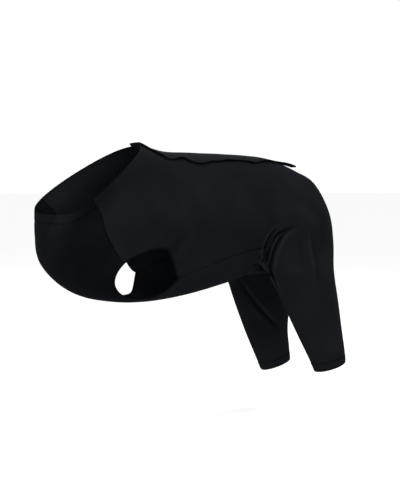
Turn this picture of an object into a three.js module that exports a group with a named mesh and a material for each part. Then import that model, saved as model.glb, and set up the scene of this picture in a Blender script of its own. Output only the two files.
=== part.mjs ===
// A stretch recovery suit with sleeves on the hind legs, held in its worn shape. X runs from the neck to
// the tail, Y to the suit's right, Z up. The origin is the top of the neck opening.
import * as THREE from 'three';

// Driving sizes, in millimetres.
const backLength = 440;      // top of the neck opening to the back of the thighs
const bodyDepth = 316;       // top of the neck opening down to the underside of the chest
const halfChest = 118;       // half the width across the chest
const leftSleeve = 206;      // crotch to the hem of the left hind-leg sleeve
const rightSleeve = 228;     // the right hind leg is stretched further down
const clothWall = 1.5;       // one layer of jersey
const doubleWall = 2.2;      // folded cloth of bands and hems
const seamGap = 0.4;         // between two pieces that are sewn edge to edge
const layerGap = 0.7;        // between layers that lie on each other
const neckBandDepth = 20;
const cuffDepth = 20;
const rollRadius = 1.6;      // rolled edge of an opening
const tapeWall = 1;          // fastening strip under the flap
const seamThinning = 0.5;    // wall at the groin seams, of the full wall
const innerThighShare = 0.82; // how far a thigh bulges inwards, of how far it bulges outwards

// A table's rows as objects, with the values named by its columns.
function table(columns, rows) {
  return rows.map((row) => Object.fromEntries(columns.map((name, i) => [name, row[i]])));
}

// Cross-sections of the trunk, from the neck edge to the groin. X in back lengths, Z in body depths,
// width in half chests. widest is how far down the section is broadest, forward how far its sides lie
// ahead of its middle, in back lengths, and round is 1 for an ellipse and less for a boxier section.
const trunkRows = table(['topX', 'topZ', 'lowX', 'lowZ', 'width', 'widest', 'forward', 'round'], [
  [0.000, 0.000, -0.396, -0.436, 1.07, 0.72, 0.045, 0.93],
  [0.068, -0.032, -0.456, -0.588, 0.95, 0.67, 0.006, 0.92],
  [0.150, -0.050, -0.444, -0.768, 0.96, 0.61, 0.000, 0.94],
  [0.250, -0.052, -0.300, -0.937, 0.99, 0.57, 0.000, 0.97],
  [0.341, -0.055, -0.068, -1.000, 0.99, 0.55, 0.000, 1.00],
  [0.443, -0.058, 0.182, -0.981, 0.95, 0.55, 0.000, 1.00],
  [0.545, -0.064, 0.420, -0.915, 0.88, 0.55, 0.000, 1.00],
  [0.632, -0.072, 0.564, -0.856, 0.84, 0.55, 0.000, 1.00],
]);

// Sections of the left haunch, fanned round the groin, from the loin to the crotch. The low point lies on
// the seam to the underside. reach is the share of a half turn that the section makes before that seam.
const haunchRows = table(['topX', 'topY', 'topZ', 'lowX', 'lowY', 'lowZ', 'width', 'widest', 'reach'], [
  [0.750, 0.00, -0.099, 0.576, 0.74, -0.706, 0.86, 0.57, 0.69],
  [0.856, 0.01, -0.153, 0.584, 0.72, -0.740, 0.89, 0.57, 0.75],
  [0.923, 0.22, -0.233, 0.591, 0.71, -0.772, 0.78, 0.56, 0.80],
  [0.974, 0.40, -0.427, 0.596, 0.72, -0.800, 0.69, 0.55, 0.86],
  [0.986, 0.49, -0.633, 0.600, 0.74, -0.823, 0.57, 0.52, 0.93],
  [0.980, 0.56, -0.829, 0.605, 0.76, -0.842, 0.49, 0.50, 1.00],
]);

// Sections of a sleeve below the crotch. topDrop and lowDrop are shares of the sleeve's length.
const sleeveRows = table(['topX', 'topY', 'topDrop', 'lowX', 'lowY', 'lowDrop', 'width', 'widest'], [
  [0.977, 0.74, 0.30, 0.668, 0.82, 0.30, 0.37, 0.5],
  [0.980, 0.85, 0.59, 0.739, 0.86, 0.61, 0.30, 0.5],
  [0.993, 0.87, 0.80, 0.802, 0.87, 0.86, 0.27, 0.5],
  [0.998, 0.87, 0.92, 0.836, 0.87, 1.00, 0.26, 0.5],
]);

// Stations count sections from the neck edge: 0 is the first trunk row and loin the last one.
const loin = trunkRows.length - 1;
const crotch = loin + haunchRows.length;
const hem = crotch + sleeveRows.length;

// The seam between a side panel and the underside, as station and share of the half turn from the spine.
const chestSeam = [[0, 0.54], [1, 0.52], [1.9, 0.56], [2.92, 0.64]];
const bellySeam = [[4.45, 0.700], [4.9, 0.655], [5.4, 0.630], [6.1, 0.622], [loin, 0.635]];
const armholeFront = chestSeam[chestSeam.length - 1][0];
const armholeBack = bellySeam[0][0];
const armholeMiddle = (armholeFront + armholeBack) / 2;
const armholeHalf = (armholeBack - armholeFront) / 2;

// The front-leg opening runs from the end of the chest seam to the start of the belly seam. Its two edges
// are given at equal steps of a half turn from front to back.
const armholeUpper = [0.640, 0.598, 0.558, 0.556, 0.618, 0.682, 0.700];
const armholeLower = [0.640, 0.712, 0.785, 0.850, 0.875, 0.845, 0.700];

// The middle line of the crotch, from the loin to the lower rim of the tail opening. along is the share
// of the way.
const crotchLine = table(['along', 'x', 'z'], [
  [0.00, 0.564, -0.856],
  [0.25, 0.600, -0.855],
  [0.50, 0.650, -0.842],
  [0.75, 0.780, -0.822],
  [1.00, 0.915, -0.795],
]);

// The flap over the spine: how far it reaches down the left and right, as shares of a half turn, and how
// far it stands off the back, in back lengths.
const flapRows = table(['station', 'left', 'right', 'lift'], [
  [0.0, 0.030, 0.050, 0.006],
  [0.6, 0.058, 0.080, 0.002],
  [1.1, 0.092, 0.090, 0.001],
  [1.7, 0.125, 0.095, 0.000],
  [2.1, 0.135, 0.095, 0.000],
  [2.6, 0.116, 0.095, 0.000],
  [3.1, 0.147, 0.095, 0.000],
  [3.6, 0.155, 0.095, 0.000],
  [4.2, 0.134, 0.095, 0.000],
  [5.0, 0.124, 0.095, 0.000],
  [5.6, 0.119, 0.095, 0.000],
  [6.5, 0.135, 0.095, 0.000],
  [7.2, 0.100, 0.080, 0.000],
  [8.0, 0.060, 0.055, 0.004],
  [9.0, 0.018, 0.018, 0.022],
]);

// The fastening strip lies on the left panel under the flap: its stations, and its edges as shares of a
// half turn.
const tapeStart = 1.2;
const tapeEnd = 6.6;
const tapeReach = 0.07;
const tapeInnerShare = 0.12;

// The rear opening starts on the rump, between two haunch sections.
const tailTop = loin + 2.35;

// Cells of the faceted surfaces: across a panel, and along it between two named places.
const crossCells = 10;
const undersideCells = 16;
const chestCells = 7;
const armholeCells = 12;
const bellyCells = 6;
const haunchCells = 12;
const sleeveCells = 9;
const thighCells = 9;
const tailRimCells = 14;
const flapCells = { along: 36, across: 8 };
const tapeCells = { along: 16, across: 3 };
const bandCells = 2;
const cuffCells = { along: 2, around: 24 };
const rollSides = 6;

// Smooth curve through equally spaced numbers, arrays or rows, by Catmull and Rom's formula.
function smooth(keys, place) {
  const last = keys.length - 1;
  const i = Math.min(Math.max(Math.floor(place), 0), last - 1);
  const t = place - i;
  const beyond = (near, far) => near.map((v, k) => 2 * v - far[k]);
  const b = keys[i];
  const c = keys[i + 1];
  const a = i > 0 ? keys[i - 1] : beyond(b, c);
  const d = i + 2 <= last ? keys[i + 2] : beyond(c, b);
  return b.map((v, k) => 0.5 * (2 * v + (c[k] - a[k]) * t + (2 * a[k] - 5 * v + 4 * c[k] - d[k]) * t * t
    + (3 * v - a[k] - 3 * c[k] + d[k]) * t * t * t));
}

// The place of a value among keys whose first column rises, for use with smooth.
function placeOf(keys, value) {
  let i = 0;
  while (i < keys.length - 2 && value > keys[i + 1][0]) i += 1;
  return i + (value - keys[i][0]) / (keys[i + 1][0] - keys[i][0]);
}

const valueAt = (keys, value) => smooth(keys, placeOf(keys, value));

const trunkKeys = trunkRows.map((r) => [
  r.topX * backLength, 0, r.topZ * bodyDepth, r.lowX * backLength, 0, r.lowZ * bodyDepth,
  r.width * halfChest, r.widest, r.forward * backLength, r.round]);

// How far down a section has come after a share of its half turn. It is half way round where it is
// widest.
function fallOf(share, widest) {
  const even = (1 - Math.cos(share * Math.PI)) / 2;
  return even + 4 * (widest - 0.5) * even * (1 - even);
}

// A section bulges sideways as a sine of the turn while it goes from its top point to its low point.
function sectionPoint(row, turn, reach, outward) {
  const [topX, topY, topZ, lowX, lowY, lowZ, width, widest, forward, round] = row;
  const fall = (share) => fallOf(share, widest);
  const bulge = (share) => Math.max(Math.sin(share * Math.PI), 0) ** round;
  const down = fall(turn) / fall(reach);
  const out = bulge(turn) - down * bulge(reach);
  return new THREE.Vector3(
    topX + (lowX - topX) * down - forward * out,
    topY + (lowY - topY) * down + outward * width * out,
    topZ + (lowZ - topZ) * down);
}

const trunkPoint = (station, turn) => sectionPoint(smooth(trunkKeys, station), turn, 1, 1);

// An armhole's edge at a share of its half turn from front to back.
const armholeTurn = (edge, share) => smooth(edge.map((v) => [v]), share * (edge.length - 1))[0];

// Edge of a panel on the trunk, as a share of the half turn. armhole is the edge it has at the front-leg
// opening.
function panelEdge(station, armhole) {
  if (station <= armholeFront) return valueAt(chestSeam, station)[1];
  if (station >= armholeBack) return valueAt(bellySeam, Math.min(station, loin))[1];
  return armholeTurn(armhole, Math.acos((armholeMiddle - station) / armholeHalf) / Math.PI);
}

// Sections of the haunch and sleeve, led in by two trunk sections cut off at the belly seam.
function legKeys(sleeveLength) {
  const leadIn = [loin - 1, loin].map((station) => {
    const turn = panelEdge(station, armholeUpper);
    const edge = trunkPoint(station, turn);
    const row = smooth(trunkKeys, station);
    return [row[0], 0, row[2], edge.x, edge.y, edge.z, row[6], row[7], 0, 1, turn];
  });
  const haunch = haunchRows.map((r) => [
    r.topX * backLength, r.topY * halfChest, r.topZ * bodyDepth,
    r.lowX * backLength, r.lowY * halfChest, r.lowZ * bodyDepth,
    r.width * halfChest, r.widest, 0, 1, r.reach]);
  const end = haunchRows[haunchRows.length - 1];
  const sleeve = sleeveRows.map((r) => [
    r.topX * backLength, r.topY * halfChest, end.topZ * bodyDepth - r.topDrop * sleeveLength,
    r.lowX * backLength, r.lowY * halfChest, end.lowZ * bodyDepth - r.lowDrop * sleeveLength,
    r.width * halfChest, r.widest, 0, 1, 1]);
  return [...leadIn, ...haunch, ...sleeve];
}

// One side of the suit: its mirror sign, its leg's sections, the length of the last step between
// sections and the station where its cuff starts.
function makeSide(name, sign, sleeveLength) {
  const lastStep = sleeveRows[sleeveRows.length - 1].lowDrop - sleeveRows[sleeveRows.length - 2].lowDrop;
  const hemStep = sleeveLength * lastStep;
  return { name, sign, hemStep, keys: legKeys(sleeveLength), cuffStation: hem - cuffDepth / hemStep };
}

const sides = [makeSide('left', -1, leftSleeve), makeSide('right', 1, rightSleeve)];

// A leg's section. Its top point never crosses the spine.
function legRow(side, station) {
  const row = smooth(side.keys, station - loin + 1);
  row[1] = Math.max(row[1], 0);
  return row;
}

// Point of a leg's section at a share of the way from its top point. outward -1 gives the inner half.
function legPoint(side, station, share, outward) {
  const row = legRow(side, station);
  const reach = Math.min(row[10], 1);
  return sectionPoint(row, share * reach, reach, outward > 0 ? 1 : -innerThighShare);
}

const toSide = (point, side) => point.set(point.x, side.sign * point.y, point.z);

// The side panel's surface: share 0 is the spine or the tail opening, and 1 the seam to the underside.
function sideSurface(side, station, share) {
  if (station > loin) return toSide(legPoint(side, station, share, 1), side);
  return toSide(trunkPoint(station, share * panelEdge(station, armholeUpper)), side);
}

// The underside's edge: along the trunk seams, down the groin, then along the inner top of the thigh.
const thighSteps = 3;
const rear = crotch + thighSteps;

function undersideEdge(side, station) {
  if (station <= crotch) return legPoint(side, station, 1, 1);
  return legPoint(side, crotch, 1 - (station - crotch) / thighSteps, -1);
}

const crotchKeys = crotchLine.map((r) => [r.along, r.x * backLength, r.z * bodyDepth]);

// The underside's surface: share 0 is its middle line and 1 its edge. Behind the loin it keeps the loin
// section's curve, stretched between its edge and its middle line.
function undersideSurface(side, station, share) {
  const start = panelEdge(Math.min(station, loin), armholeLower);
  const turn = 1 - (1 - start) * share;
  if (station <= loin) return toSide(trunkPoint(station, turn), side);
  const edge = undersideEdge(side, station);
  const [, middleX, middleZ] = valueAt(crotchKeys, (station - loin) / (rear - loin));
  const skipped = fallOf(start, trunkRows[loin].widest);
  const down = (fallOf(turn, trunkRows[loin].widest) - skipped) / (1 - skipped);
  const aside = Math.sin(turn * Math.PI) / Math.sin(start * Math.PI);
  return toSide(new THREE.Vector3(
    edge.x + (middleX - edge.x) * down, edge.y * aside, edge.z + (middleZ - edge.z) * down), side);
}

// The same surface from the left edge, -1, over the middle line to the right edge, 1.
function wholeUnderside(station, place) {
  return undersideSurface(place < 0 ? sides[0] : sides[1], station, Math.abs(place));
}

// The station where the neck band ends, at a place across the chest.
function bandStation(place, depth) {
  return depth / wholeUnderside(0, place).distanceTo(wholeUnderside(1, place));
}

// Unit normal of a surface, by small steps in its two parameters.
function normalOf(surface, a, b) {
  const step = 1e-3;
  const along = surface(a + step, b).sub(surface(a - step, b));
  const across = surface(a, b + step).sub(surface(a, b - step));
  return along.cross(across).normalize();
}

// Outward normal of the underside, and the direction that it shares with the panel sewn to its edge, so
// that both walls meet in one mitre. It is shorter than 1, because the cloth thins towards that seam.
const undersideNormal = (station, place) => normalOf(wholeUnderside, station, place).negate();

function seamNormal(side, station) {
  const neighbour = station > crotch
    ? (a, b) => toSide(legPoint(side, crotch + a, b, -1), side)
    : (a, b) => sideSurface(side, a, b);
  const normal = station > crotch
    ? normalOf(neighbour, 0, 1 - (station - crotch) / thighSteps).multiplyScalar(-side.sign)
    : normalOf(neighbour, station, 1).multiplyScalar(side.sign);
  return normal.add(undersideNormal(station, side.sign)).setLength(seamThinning);
}

function meshOf(points, triangles) {
  const geometry = new THREE.BufferGeometry();
  const numbers = points.flatMap((p) => [p.x, p.y, p.z]);
  geometry.setAttribute('position', new THREE.Float32BufferAttribute(numbers, 3));
  geometry.setIndex(triangles);
  return geometry;
}

// Closed wall over a grid of points: the outer face, the inner face behind it and the rims between them.
// outSign is 1 where rows crossed with columns point outwards. ring joins the last column to the first.
function wallMesh(outer, inner, outSign, ring) {
  const rows = outer.length;
  const cols = outer[0].length;
  const at = (layer, i, j) => (layer * rows + i) * cols + (j % cols);
  const triangles = [];
  const quad = (a, b, c, d) => triangles.push(...(outSign > 0 ? [a, b, c, a, c, d] : [a, c, b, a, d, c]));
  const lastCol = ring ? cols : cols - 1;
  for (let i = 0; i < rows - 1; i += 1) {
    for (let j = 0; j < lastCol; j += 1) {
      quad(at(0, i, j), at(0, i + 1, j), at(0, i + 1, j + 1), at(0, i, j + 1));
      quad(at(1, i, j), at(1, i, j + 1), at(1, i + 1, j + 1), at(1, i + 1, j));
    }
    if (!ring) {
      quad(at(0, i, 0), at(1, i, 0), at(1, i + 1, 0), at(0, i + 1, 0));
      quad(at(0, i, lastCol), at(0, i + 1, lastCol), at(1, i + 1, lastCol), at(1, i, lastCol));
    }
  }
  for (let j = 0; j < lastCol; j += 1) {
    quad(at(0, 0, j), at(0, 0, j + 1), at(1, 0, j + 1), at(1, 0, j));
    quad(at(0, rows - 1, j), at(1, rows - 1, j), at(1, rows - 1, j + 1), at(0, rows - 1, j + 1));
  }
  return meshOf([...outer.flat(), ...inner.flat()], triangles);
}

// A wall over a surface, between two heights above it. acrossAt gives the columns for each row, and
// finish may move a point.
function clothOver(surface, along, acrossAt, options) {
  const { outSign, low, high, ring = false, normalAt, finish = (point) => point } = options;
  const outwards = normalAt ?? ((a, b) => normalOf(surface, a, b).multiplyScalar(outSign));
  const layer = (height) => along.map((a, i) => acrossAt(a).map((b, j) => finish(
    surface(a, b).addScaledVector(outwards(a, b, i, j), height(a)))));
  return wallMesh(layer(high), layer(low), outSign, ring);
}

const level = (height) => () => height;

// A round roll along a closed loop of points, laid just inside the opening that the loop borders.
function rollInside(loop, normals) {
  const count = loop.length;
  const centre = loop.reduce((sum, p) => sum.add(p), new THREE.Vector3()).divideScalar(count);
  const points = [];
  const triangles = [];
  loop.forEach((point, i) => {
    const tangent = loop[(i + 1) % count].clone().sub(loop[(i + count - 1) % count]).normalize();
    const inwards = tangent.clone().cross(normals[i]).normalize();
    if (inwards.dot(centre.clone().sub(point)) < 0) inwards.negate();
    const up = inwards.clone().cross(tangent).normalize();
    const middle = point.clone().addScaledVector(inwards, rollRadius + 2 * seamGap)
      .addScaledVector(normals[i], -clothWall / 2);
    for (let k = 0; k < rollSides; k += 1) {
      const angle = 2 * Math.PI * k / rollSides;
      points.push(middle.clone().addScaledVector(inwards, rollRadius * Math.cos(angle))
        .addScaledVector(up, rollRadius * Math.sin(angle)));
      const next = (k + 1) % rollSides;
      const [a, b] = [i * rollSides, (i + 1) % count * rollSides];
      triangles.push(a + k, b + k, b + next, a + k, b + next, a + next);
    }
  });
  return meshOf(points, triangles);
}

// Evenly spread numbers, both ends included.
function spread(from, to, cells) {
  return Array.from({ length: cells + 1 }, (_, i) => from + (to - from) * i / cells);
}

// Stations of a panel from its front to the crotch: even steps, and closer ones round the ends of the
// armhole.
function panelStations(front) {
  const turned = spread(0, Math.PI, armholeCells)
    .map((angle) => armholeMiddle - armholeHalf * Math.cos(angle));
  return [...spread(front, armholeFront, chestCells), ...turned.slice(1),
    ...spread(armholeBack, loin, bellyCells).slice(1), ...spread(loin, crotch, haunchCells).slice(1)];
}

// Columns across a panel, cut back at each end by a length, which a short sample of the row turns into a
// share.
const sampleShare = 0.05;

function cutColumns(surface, station, from, to, count, cut) {
  const sample = sampleShare * (to - from);
  const length = (a, b) => surface(station, a).distanceTo(surface(station, b));
  const first = from + cut * sample / length(from, from + sample);
  const last = to - cut * sample / length(to - sample, to);
  return spread(first, last, count);
}

// Half the gap of a seam at a station: it is wider in the groin, where the seam turns sharply.
const halfGap = seamGap / 2;
const groinCut = 1.9 * seamGap;
const seamCut = (station) => (station >= loin && station < rear ? groinCut : halfGap);

const sideCloth = 0x1b1c1f;
const undersideCloth = 0x121316;
const flapCloth = 0x25262a;
const trimCloth = 0x0d0d0f;
const clothRoughness = 0.9;

const suit = new THREE.Group();
suit.name = 'dog_jumpsuit';

function addPiece(name, geometry, color) {
  const material = new THREE.MeshStandardMaterial({ color, roughness: clothRoughness, metalness: 0 });
  const mesh = new THREE.Mesh(geometry, material);
  mesh.name = name;
  suit.add(mesh);
}

function addSidePanel(side) {
  const surface = (station, share) => sideSurface(side, station, share);
  const sleeveEnd = side.cuffStation - seamGap / side.hemStep;
  const bandEnd = bandStation(1, neckBandDepth + 2 * seamGap);
  const stations = [0, bandEnd / 2, ...panelStations(bandEnd),
    ...spread(crotch, sleeveEnd, sleeveCells).slice(1)];
  const columns = (station) => cutColumns(surface, station, 0, 1, crossCells, seamCut(station));
  const offSpine = (point) => point.setY(side.sign * Math.max(side.sign * point.y, halfGap));
  const mitred = (a, b, i, j) => (j === crossCells && a >= loin && a <= crotch
    ? seamNormal(side, a) : normalOf(surface, a, b).multiplyScalar(side.sign));
  const wall = clothOver(surface, stations, columns,
    { outSign: side.sign, low: level(-clothWall), high: level(0), normalAt: mitred, finish: offSpine });
  addPiece(`side_panel_${side.name}`, wall, sideCloth);
}

function addInnerLeg(side) {
  const surface = (station, share) => toSide(legPoint(side, station, 1 - share, -1), side);
  const crotchStep = legRow(side, crotch)[2] - legRow(side, crotch + 1)[2];
  const sleeveEnd = side.cuffStation - seamGap / side.hemStep;
  const stations = spread(crotch + 2 * seamGap / crotchStep, sleeveEnd, sleeveCells);
  const columns = (station) => cutColumns(surface, station, 0, 1, crossCells, seamCut(station));
  const mitred = (a, b, i) => (i === 0
    ? seamNormal(side, crotch + b * thighSteps) : normalOf(surface, a, b).multiplyScalar(side.sign));
  addPiece(`inner_leg_${side.name}`, clothOver(surface, stations, columns,
    { outSign: side.sign, low: level(-clothWall), high: level(0), normalAt: mitred }), undersideCloth);
}

function addCuff(side) {
  const surface = (station, turn) => {
    const around = (turn + 2) % 2;
    const point = around <= 1
      ? legPoint(side, station, around, 1) : legPoint(side, station, 2 - around, -1);
    return toSide(point, side);
  };
  const columns = () => spread(0, 2, cuffCells.around).slice(0, -1);
  const stations = spread(side.cuffStation, hem, cuffCells.along);
  const wall = clothOver(surface, stations, columns,
    { outSign: side.sign, low: level(-clothWall), high: level(doubleWall - clothWall), ring: true });
  addPiece(`leg_cuff_${side.name}`, wall, sideCloth);
}

// The underside is one panel. On the chest it starts below the neck band.
function addUnderside() {
  const surface = (station, place) => {
    const front = bandStation(place, neckBandDepth + 2 * seamGap);
    const pushed = front + station * (armholeFront - front) / armholeFront;
    return wholeUnderside(station < armholeFront ? pushed : station, place);
  };
  const stations = [...panelStations(0), ...spread(crotch, rear, thighCells).slice(1)];
  const columns = (station) => cutColumns(surface, station, -1, 1, undersideCells, seamCut(station));
  const mitred = (a, b, i, j) => {
    if (a >= loin && j === 0) return seamNormal(sides[0], a);
    if (a >= loin && j === undersideCells) return seamNormal(sides[1], a);
    return normalOf(surface, a, b).negate();
  };
  addPiece('chest_belly_panel', clothOver(surface, stations, columns,
    { outSign: -1, low: level(-clothWall), high: level(0), normalAt: mitred }), undersideCloth);
}

function addNeckBand() {
  const surface = (share, place) => wholeUnderside(share * bandStation(place, neckBandDepth), place);
  const columns = (share) => cutColumns(surface, share, -1, 1, undersideCells, halfGap);
  addPiece('neck_band', clothOver(surface, spread(0, 1, bandCells), columns,
    { outSign: -1, low: level(-clothWall), high: level(doubleWall - clothWall) }), undersideCloth);
}

function addArmholeEdge(side) {
  const places = spread(0, 2, 2 * armholeCells).slice(0, -1).map((way) => {
    const turn = way <= 1 ? armholeTurn(armholeUpper, way) : armholeTurn(armholeLower, 2 - way);
    return [armholeMiddle - armholeHalf * Math.cos(way * Math.PI), turn];
  });
  const surface = (station, turn) => toSide(trunkPoint(station, turn), side);
  const loop = places.map(([station, turn]) => surface(station, turn));
  const outwards = ([station, turn]) => normalOf(surface, station, turn).multiplyScalar(side.sign);
  addPiece(`armhole_edge_${side.name}`, rollInside(loop, places.map(outwards)), trimCloth);
}

// The rear opening is bordered by both thighs above the crotch and by the end of the underside.
function addTailEdge() {
  const rims = sides.map((side) => {
    const surface = (station, share) => sideSurface(side, station, share);
    return spread(tailTop, crotch, tailRimCells).slice(0, -1).map((station) => ({
      point: surface(station, 0), normal: normalOf(surface, station, 0).multiplyScalar(side.sign) }));
  });
  const lowRim = spread(-1, 1, undersideCells).slice(1, -1).map((place) => ({
    point: wholeUnderside(rear, place), normal: normalOf(wholeUnderside, rear, place).negate() }));
  const loop = [...rims[0], ...lowRim, ...rims[1].reverse()];
  const roll = rollInside(loop.map((r) => r.point), loop.map((r) => r.normal));
  addPiece('tail_opening_edge', roll, trimCloth);
}

// A strip over the spine, from the left, -1, to the right, 1, of the turns that reachAt gives for its
// station.
function spineSurface(reachAt) {
  return (station, place) => {
    const side = sides[place < 0 ? 0 : 1];
    const [left, right] = reachAt(station);
    const turn = Math.abs(place) * (place < 0 ? left : right);
    const row = station > loin ? legRow(side, station) : smooth(trunkKeys, station);
    return toSide(sectionPoint(row, turn, station > loin ? row[10] : 1, 1), side);
  };
}

function addFlap() {
  const keys = flapRows.map((r) => [r.station, r.left, r.right, r.lift * backLength]);
  const surface = spineSurface((station) => valueAt(keys, station).slice(1, 3));
  const under = (station) => 2 * layerGap + tapeWall + valueAt(keys, station)[3];
  const end = keys[keys.length - 1][0];
  const columns = () => spread(-1, 1, flapCells.across);
  addPiece('back_flap', clothOver(surface, spread(0, end, flapCells.along), columns,
    { outSign: 1, low: under, high: (station) => under(station) + clothWall }), flapCloth);
}

function addTape() {
  const surface = spineSurface(() => [tapeReach, tapeReach]);
  const columns = () => spread(-1, -tapeInnerShare, tapeCells.across);
  addPiece('closure_tape', clothOver(surface, spread(tapeStart, tapeEnd, tapeCells.along), columns,
    { outSign: 1, low: level(layerGap), high: level(layerGap + tapeWall) }), trimCloth);
}

for (const side of sides) {
  addSidePanel(side);
  addInnerLeg(side);
  addCuff(side);
  addArmholeEdge(side);
}
addUnderside();
addNeckBand();
addTailEdge();
addFlap();
addTape();

export default suit;
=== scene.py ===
import math

import bpy
import numpy as np
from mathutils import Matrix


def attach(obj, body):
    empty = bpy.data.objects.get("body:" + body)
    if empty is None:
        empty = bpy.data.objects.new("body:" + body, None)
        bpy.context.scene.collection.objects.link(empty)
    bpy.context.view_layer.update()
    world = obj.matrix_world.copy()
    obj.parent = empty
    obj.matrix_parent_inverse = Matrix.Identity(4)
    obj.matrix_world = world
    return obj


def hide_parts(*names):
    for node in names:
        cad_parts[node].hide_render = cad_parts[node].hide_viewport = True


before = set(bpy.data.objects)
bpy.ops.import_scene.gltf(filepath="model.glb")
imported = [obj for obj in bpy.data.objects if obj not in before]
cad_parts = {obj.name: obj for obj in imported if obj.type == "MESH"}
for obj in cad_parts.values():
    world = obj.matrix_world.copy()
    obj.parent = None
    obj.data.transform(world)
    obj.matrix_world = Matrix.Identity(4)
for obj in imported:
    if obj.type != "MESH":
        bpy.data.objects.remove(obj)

MM = 0.001

# Main sizes in millimetres, the same as the solids'. X runs from the neck to the tail, Y to the suit's
# right and Z up, from the top of the neck opening.
BACK_LENGTH = 440
BODY_DEPTH = 316
HALF_CHEST = 118
SLEEVE_LENGTH = {-1: 206, 1: 228}
INNER_THIGH_SHARE = 0.82
NECK_BAND_DEPTH = 20
CUFF_DEPTH = 20
SIDE_NAMES = {-1: "left", 1: "right"}

# Cloth thicknesses, rolled edges and how far a layer lies over the next, in millimetres.
JERSEY_WALL = 1.3
DOUBLE_WALL = 2.0
TAPE_WALL = 1.0
LAYER_GAP = 0.7
CUFF_LIFT = 0.3
BAND_LIFT = 0.5
ROLL_RADIUS = 1.7
ROLL_INSET = 0.35
SEAM_OVERLAP = 1.0

# The dip of a panel along its seams, and of the flap and the tape along theirs, in millimetres.
SEAM_DIP = 0.7
FLAP_DIP = 0.4
TAPE_DIP = 0.1
SEAM_DIP_WIDTH = 2.2


def table(columns, rows):
    """A table's columns as arrays, by name."""
    return dict(zip(columns.split(), np.array(rows, float).T))


# Sections of the trunk from the neck edge to the groin: X in back lengths, Z in body depths, width in
# half chests. widest is how far down a section is broadest, forward how far its sides lie ahead of its
# middle, and round is 1 for an ellipse.
TRUNK = table("top_x top_z low_x low_z width widest forward round", [
    [0.000, 0.000, -0.396, -0.436, 1.07, 0.72, 0.045, 0.93],
    [0.068, -0.032, -0.456, -0.588, 0.95, 0.67, 0.006, 0.92],
    [0.150, -0.050, -0.444, -0.768, 0.96, 0.61, 0.000, 0.94],
    [0.250, -0.052, -0.300, -0.937, 0.99, 0.57, 0.000, 0.97],
    [0.341, -0.055, -0.068, -1.000, 0.99, 0.55, 0.000, 1.00],
    [0.443, -0.058, 0.182, -0.981, 0.95, 0.55, 0.000, 1.00],
    [0.545, -0.064, 0.420, -0.915, 0.88, 0.55, 0.000, 1.00],
    [0.632, -0.072, 0.564, -0.856, 0.84, 0.55, 0.000, 1.00],
])

# Sections of a haunch, fanned round the groin. reach is the share of a half turn made before the seam.
HAUNCH = table("top_x top_y top_z low_x low_y low_z width widest reach", [
    [0.750, 0.00, -0.099, 0.576, 0.74, -0.706, 0.86, 0.57, 0.69],
    [0.856, 0.01, -0.153, 0.584, 0.72, -0.740, 0.89, 0.57, 0.75],
    [0.923, 0.22, -0.233, 0.591, 0.71, -0.772, 0.78, 0.56, 0.80],
    [0.974, 0.40, -0.427, 0.596, 0.72, -0.800, 0.69, 0.55, 0.86],
    [0.986, 0.49, -0.633, 0.600, 0.74, -0.823, 0.57, 0.52, 0.93],
    [0.980, 0.56, -0.829, 0.605, 0.76, -0.842, 0.49, 0.50, 1.00],
])

# Sections of a sleeve below the crotch. The drops are shares of the sleeve's length.
SLEEVE = table("top_x top_y top_drop low_x low_y low_drop width widest", [
    [0.977, 0.74, 0.30, 0.668, 0.82, 0.30, 0.37, 0.5],
    [0.980, 0.85, 0.59, 0.739, 0.86, 0.61, 0.30, 0.5],
    [0.993, 0.87, 0.80, 0.802, 0.87, 0.86, 0.27, 0.5],
    [0.998, 0.87, 0.92, 0.836, 0.87, 1.00, 0.26, 0.5],
])

# Stations count sections from the neck edge.
LOIN = len(TRUNK["top_x"]) - 1
CROTCH = LOIN + len(HAUNCH["top_x"])
HEM = CROTCH + len(SLEEVE["top_x"])
THIGH_STEPS = 3
REAR = CROTCH + THIGH_STEPS

# Seam of a side panel to the underside: station, and share of the half turn from the spine.
CHEST_SEAM = [[0, 0.54], [1, 0.52], [1.9, 0.56], [2.92, 0.64]]
BELLY_SEAM = [[4.45, 0.700], [4.9, 0.655], [5.4, 0.630], [6.1, 0.622], [LOIN, 0.635]]
ARMHOLE_UPPER = [0.640, 0.598, 0.558, 0.556, 0.618, 0.682, 0.700]
ARMHOLE_LOWER = [0.640, 0.712, 0.785, 0.850, 0.875, 0.845, 0.700]
ARMHOLE_FRONT = CHEST_SEAM[-1][0]
ARMHOLE_BACK = BELLY_SEAM[0][0]
ARMHOLE_MIDDLE = (ARMHOLE_FRONT + ARMHOLE_BACK) / 2
ARMHOLE_HALF = (ARMHOLE_BACK - ARMHOLE_FRONT) / 2

# Middle line of the crotch, from the loin to the tail opening: share of the way, X and Z.
CROTCH_LINE = [[0.00, 0.564, -0.856], [0.25, 0.600, -0.855], [0.50, 0.650, -0.842],
               [0.75, 0.780, -0.822], [1.00, 0.915, -0.795]]

# The flap over the spine: station, reach down the left and the right as shares of a half turn, and
# how far it stands off the back, in back lengths.
FLAP_ROWS = [
    [0.0, 0.030, 0.050, 0.006], [0.6, 0.058, 0.080, 0.002], [1.1, 0.092, 0.090, 0.001],
    [1.7, 0.125, 0.095, 0.000], [2.1, 0.135, 0.095, 0.000], [2.6, 0.116, 0.095, 0.000],
    [3.1, 0.147, 0.095, 0.000], [3.6, 0.155, 0.095, 0.000], [4.2, 0.134, 0.095, 0.000],
    [5.0, 0.124, 0.095, 0.000], [5.6, 0.119, 0.095, 0.000], [6.5, 0.135, 0.095, 0.000],
    [7.2, 0.100, 0.080, 0.000], [8.0, 0.060, 0.055, 0.000], [9.0, 0.018, 0.018, 0.015],
]
TAPE_START, TAPE_END, TAPE_REACH, TAPE_INNER_SHARE = 1.2, 6.6, 0.07, 0.12
TAIL_TOP = LOIN + 2.35


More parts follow.
